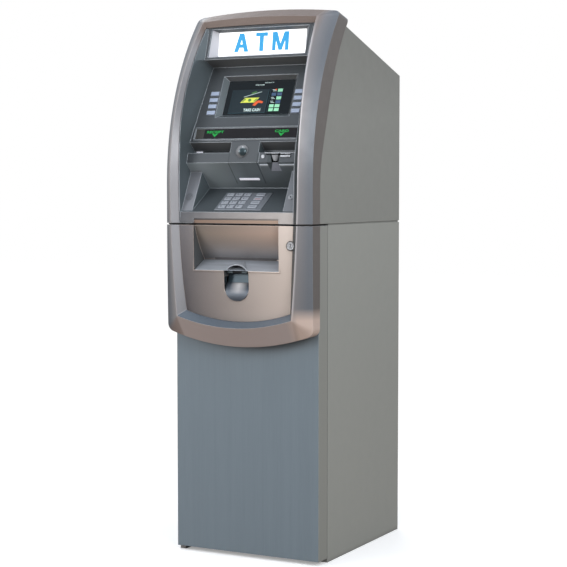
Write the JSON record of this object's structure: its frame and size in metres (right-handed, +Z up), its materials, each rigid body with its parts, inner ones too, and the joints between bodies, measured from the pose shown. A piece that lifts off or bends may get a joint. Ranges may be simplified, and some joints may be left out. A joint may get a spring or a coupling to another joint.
{
  "type": "cash machine",
  "caption": "Free-standing cash machine: safe with swinging door, flip-up fascia with lit sign, screen, keypad, card and receipt slots, and a cash pocket.",
  "frame": {"origin": "centre of the four floor anchor holes, on the underside of the safe", "axes": "+Z up, -Y towards the user (front), +X to the right when facing the machine"},
  "size_m": [0.426, 0.5702, 1.426],
  "materials": {
    "cabinet_paint": "satin powder coat, grey-green",
    "zinc_steel": "zinc plated steel",
    "computer_case": "satin black",
    "bezel_paint": "metallic grey paint over moulding",
    "fascia_dark": "dark grey metallic moulding",
    "sign_white": "white reflector",
    "sign_lens": "opal, lit from behind",
    "display_glass": "dark screen glass",
    "strip_black": "black glossy strip",
    "bright_metal": "bright plated",
    "lamp_lens": "translucent lamp lens",
    "module_black": "moulded black",
    "keypad_metal": "fine brushed",
    "door_paint": "satin blue-grey with fine vertical brushing",
    "fascia_champagne": "satin champagne metallic",
    "tray_steel": "brushed across",
    "cassette_grey": "moulded, lightly textured",
    "roller_rubber": "dull black",
    "receipt_paper": "white paper roll",
    "key_metal": "silver keys",
    "soft_key": "pale blue-grey keys"
  },
  "bodies": {
    "cabinet": {"safe_body": "cabinet_paint", "upper_housing": "cabinet_paint", "hinge_brackets": "zinc_steel", "strike_plate": "zinc_steel", "dispenser_frame": "zinc_steel", "control_computer": "computer_case", "power_inlet": "module_black", "housing_screws": "zinc_steel"},
    "fascia": {"upper_bezel": "bezel_paint", "fascia_panel": "fascia_dark", "sign_box": "sign_white", "sign_lens": "sign_lens", "display_glass": "display_glass", "display_module": "module_black", "status_strip": "strip_black", "camera_dome": "bright_metal", "keypad_light": "lamp_lens", "receipt_printer": "module_black", "card_reader": "fascia_dark", "card_inlet_trim": "bright_metal", "keypad_plate": "keypad_metal", "audio_jack": "bright_metal"},
    "door": {"door_panel": "door_paint", "lower_bezel": "bezel_paint", "lower_fascia": "fascia_champagne", "cash_tray": "tray_steel", "finger_scoop": "tray_steel", "lock_escutcheon": "bright_metal"},
    "cassette": {"cassette": "cassette_grey"},
    "exit_roller_drive": {"exit_roller_drive": "roller_rubber"},
    "exit_roller_idler": {"exit_roller_idler": "roller_rubber"},
    "power_rocker": {"power_rocker": "module_black"},
    "paper_roll": {"paper_roll": "receipt_paper"},
    "fascia_latch": {"fascia_latch": "zinc_steel"},
    "lock_cylinder": {"lock_cylinder": "bright_metal"},
    "bolt_bar": {"bolt_bar": "zinc_steel"},
    "pad_key_1": {"pad_key_1": "key_metal"},
    "pad_key_2": {"pad_key_2": "key_metal"},
    "pad_key_3": {"pad_key_3": "key_metal"},
    "pad_key_4": {"pad_key_4": "key_metal"},
    "pad_key_5": {"pad_key_5": "key_metal"},
    "pad_key_6": {"pad_key_6": "key_metal"},
    "pad_key_7": {"pad_key_7": "key_metal"},
    "pad_key_8": {"pad_key_8": "key_metal"},
    "pad_key_9": {"pad_key_9": "key_metal"},
    "pad_key_10": {"pad_key_10": "key_metal"},
    "pad_key_11": {"pad_key_11": "key_metal"},
    "pad_key_12": {"pad_key_12": "key_metal"},
    "function_key_1": {"function_key_1": "key_metal"},
    "function_key_2": {"function_key_2": "key_metal"},
    "function_key_3": {"function_key_3": "key_metal"},
    "function_key_4": {"function_key_4": "key_metal"},
    "screen_key_1": {"screen_key_1": "soft_key"},
    "screen_key_2": {"screen_key_2": "soft_key"},
    "screen_key_3": {"screen_key_3": "soft_key"},
    "screen_key_4": {"screen_key_4": "soft_key"},
    "screen_key_5": {"screen_key_5": "soft_key"},
    "screen_key_6": {"screen_key_6": "soft_key"},
    "screen_key_7": {"screen_key_7": "soft_key"},
    "screen_key_8": {"screen_key_8": "soft_key"}
  },
  "joints": [
    {"name": "fascia_flip", "type": "hinge", "parent": "cabinet", "child": "fascia", "pos_m": [0, -0.1085, 1.396], "axis": [-1, 0, 0], "range_deg": [0, 50]},
    {"name": "door_swing", "type": "hinge", "parent": "cabinet", "child": "door", "pos_m": [-0.2035, -0.2345, 0.011], "axis": [0, 0, -1], "range_deg": [0, 110]},
    {"name": "cassette_release", "type": "slide", "parent": "cabinet", "child": "cassette", "axis": [0, -1, 0], "range_m": [0, 0.025]},
    {"name": "exit_drive_turn", "type": "hinge", "parent": "cabinet", "child": "exit_roller_drive", "pos_m": [0, -0.1945, 0.7876], "axis": [1, 0, 0], "continuous": true},
    {"name": "exit_idler_turn", "type": "hinge", "parent": "cabinet", "child": "exit_roller_idler", "pos_m": [0, -0.1945, 0.771], "axis": [1, 0, 0], "continuous": true},
    {"name": "power_switch", "type": "hinge", "parent": "cabinet", "child": "power_rocker", "pos_m": [0.15, 0.2335, 0.9365], "axis": [-1, 0, 0], "range_deg": [0, 20]},
    {"name": "paper_feed", "type": "hinge", "parent": "fascia", "child": "paper_roll", "pos_m": [-0.106, -0.1245, 1.104], "axis": [1, 0, 0], "continuous": true},
    {"name": "fascia_latch_slide", "type": "slide", "parent": "fascia", "child": "fascia_latch", "axis": [0, 0, -1], "range_m": [0, 0.01]},
    {"name": "lock_turn", "type": "hinge", "parent": "door", "child": "lock_cylinder", "pos_m": [0.159, -0.2425, 0.816], "axis": [0, 1, 0], "range_deg": [0, 90]},
    {"name": "bolt_throw", "type": "slide", "parent": "door", "child": "bolt_bar", "axis": [1, 0, 0], "range_m": [0, 0.014]},
    {"name": "pad_key_1_press", "type": "slide", "parent": "fascia", "child": "pad_key_1", "axis": [0, 0.5403, -0.8415], "range_m": [0, 0.002], "stiffness_N_per_m": 400},
    {"name": "pad_key_2_press", "type": "slide", "parent": "fascia", "child": "pad_key_2", "axis": [0, 0.5403, -0.8415], "range_m": [0, 0.002], "stiffness_N_per_m": 400},
    {"name": "pad_key_3_press", "type": "slide", "parent": "fascia", "child": "pad_key_3", "axis": [0, 0.5403, -0.8415], "range_m": [0, 0.002], "stiffness_N_per_m": 400},
    {"name": "pad_key_4_press", "type": "slide", "parent": "fascia", "child": "pad_key_4", "axis": [0, 0.5403, -0.8415], "range_m": [0, 0.002], "stiffness_N_per_m": 400},
    {"name": "pad_key_5_press", "type": "slide", "parent": "fascia", "child": "pad_key_5", "axis": [0, 0.5403, -0.8415], "range_m": [0, 0.002], "stiffness_N_per_m": 400},
    {"name": "pad_key_6_press", "type": "slide", "parent": "fascia", "child": "pad_key_6", "axis": [0, 0.5403, -0.8415], "range_m": [0, 0.002], "stiffness_N_per_m": 400},
    {"name": "pad_key_7_press", "type": "slide", "parent": "fascia", "child": "pad_key_7", "axis": [0, 0.5403, -0.8415], "range_m": [0, 0.002], "stiffness_N_per_m": 400},
    {"name": "pad_key_8_press", "type": "slide", "parent": "fascia", "child": "pad_key_8", "axis": [0, 0.5403, -0.8415], "range_m": [0, 0.002], "stiffness_N_per_m": 400},
    {"name": "pad_key_9_press", "type": "slide", "parent": "fascia", "child": "pad_key_9", "axis": [0, 0.5403, -0.8415], "range_m": [0, 0.002], "stiffness_N_per_m": 400},
    {"name": "pad_key_10_press", "type": "slide", "parent": "fascia", "child": "pad_key_10", "axis": [0, 0.5403, -0.8415], "range_m": [0, 0.002], "stiffness_N_per_m": 400},
    {"name": "pad_key_11_press", "type": "slide", "parent": "fascia", "child": "pad_key_11", "axis": [0, 0.5403, -0.8415], "range_m": [0, 0.002], "stiffness_N_per_m": 400},
    {"name": "pad_key_12_press", "type": "slide", "parent": "fascia", "child": "pad_key_12", "axis": [0, 0.5403, -0.8415], "range_m": [0, 0.002], "stiffness_N_per_m": 400},
    {"name": "function_key_1_press", "type": "slide", "parent": "fascia", "child": "function_key_1", "axis": [0, 0.5403, -0.8415], "range_m": [0, 0.002], "stiffness_N_per_m": 400},
    {"name": "function_key_2_press", "type": "slide", "parent": "fascia", "child": "function_key_2", "axis": [0, 0.5403, -0.8415], "range_m": [0, 0.002], "stiffness_N_per_m": 400},
    {"name": "function_key_3_press", "type": "slide", "parent": "fascia", "child": "function_key_3", "axis": [0, 0.5403, -0.8415], "range_m": [0, 0.002], "stiffness_N_per_m": 400},
    {"name": "function_key_4_press", "type": "slide", "parent": "fascia", "child": "function_key_4", "axis": [0, 0.5403, -0.8415], "range_m": [0, 0.002], "stiffness_N_per_m": 400},
    {"name": "screen_key_1_press", "type": "slide", "parent": "fascia", "child": "screen_key_1", "axis": [0, 0.909, -0.4168], "range_m": [0, 0.0015], "stiffness_N_per_m": 400},
    {"name": "screen_key_2_press", "type": "slide", "parent": "fascia", "child": "screen_key_2", "axis": [0, 0.909, -0.4168], "range_m": [0, 0.0015], "stiffness_N_per_m": 400},
    {"name": "screen_key_3_press", "type": "slide", "parent": "fascia", "child": "screen_key_3", "axis": [0, 0.909, -0.4168], "range_m": [0, 0.0015], "stiffness_N_per_m": 400},
    {"name": "screen_key_4_press", "type": "slide", "parent": "fascia", "child": "screen_key_4", "axis": [0, 0.909, -0.4168], "range_m": [0, 0.0015], "stiffness_N_per_m": 400},
    {"name": "screen_key_5_press", "type": "slide", "parent": "fascia", "child": "screen_key_5", "axis": [0, 0.909, -0.4168], "range_m": [0, 0.0015], "stiffness_N_per_m": 400},
    {"name": "screen_key_6_press", "type": "slide", "parent": "fascia", "child": "screen_key_6", "axis": [0, 0.909, -0.4168], "range_m": [0, 0.0015], "stiffness_N_per_m": 400},
    {"name": "screen_key_7_press", "type": "slide", "parent": "fascia", "child": "screen_key_7", "axis": [0, 0.909, -0.4168], "range_m": [0, 0.0015], "stiffness_N_per_m": 400},
    {"name": "screen_key_8_press", "type": "slide", "parent": "fascia", "child": "screen_key_8", "axis": [0, 0.909, -0.4168], "range_m": [0, 0.0015], "stiffness_N_per_m": 400}
  ],
  "couplings": [
    {"joint": "bolt_throw", "follows": "lock_turn", "m_per_rad": 0.0089118},
    {"joint": "exit_idler_turn", "follows": "exit_drive_turn", "ratio": -1}
  ]
}
